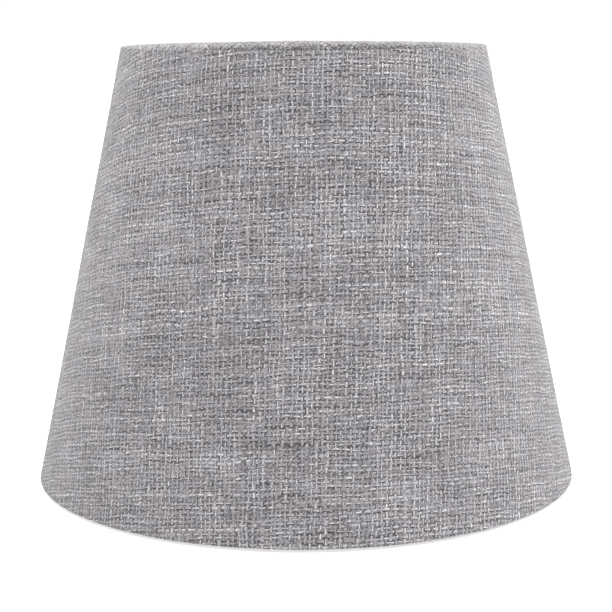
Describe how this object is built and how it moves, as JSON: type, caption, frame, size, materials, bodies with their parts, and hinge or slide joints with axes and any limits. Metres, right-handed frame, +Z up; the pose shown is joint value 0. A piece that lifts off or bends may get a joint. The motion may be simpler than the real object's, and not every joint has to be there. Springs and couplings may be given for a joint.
{
  "type": "lamp shade",
  "caption": "Tapered round lamp shade in grey linen-look weave over a white liner, with rolled edges, wire rings and a recessed spoked carrier with a lift-out reducer.",
  "frame": {"origin": "middle of the circle that the bottom edge stands on", "axes": "+Z up the axis of the cone, the seam at +Y, the front at -Y"},
  "size_m": [0.1996, 0.2008, 0.159],
  "materials": {
    "cloth": "plain weave, melange yarns",
    "liner": "satin sheet",
    "tape": "clear adhesive",
    "coated_wire": "white epoxy coat",
    "reducer": "moulded, semi-gloss"
  },
  "bodies": {
    "shade": {"cover_cloth": "cloth", "backing_liner": "liner", "seam_tape": "tape", "top_ring_wire": "coated_wire", "bottom_ring_wire": "coated_wire", "spoke_wire_1": "coated_wire", "spoke_wire_2": "coated_wire", "spoke_wire_3": "coated_wire", "fitter_ring": "coated_wire"},
    "reducer": {"reducer_ring": "reducer"}
  },
  "joints": [
    {"name": "reducer_lift", "type": "slide", "parent": "shade", "child": "reducer", "axis": [0, 0, 1], "range_m": [0, 0.045]}
  ]
}
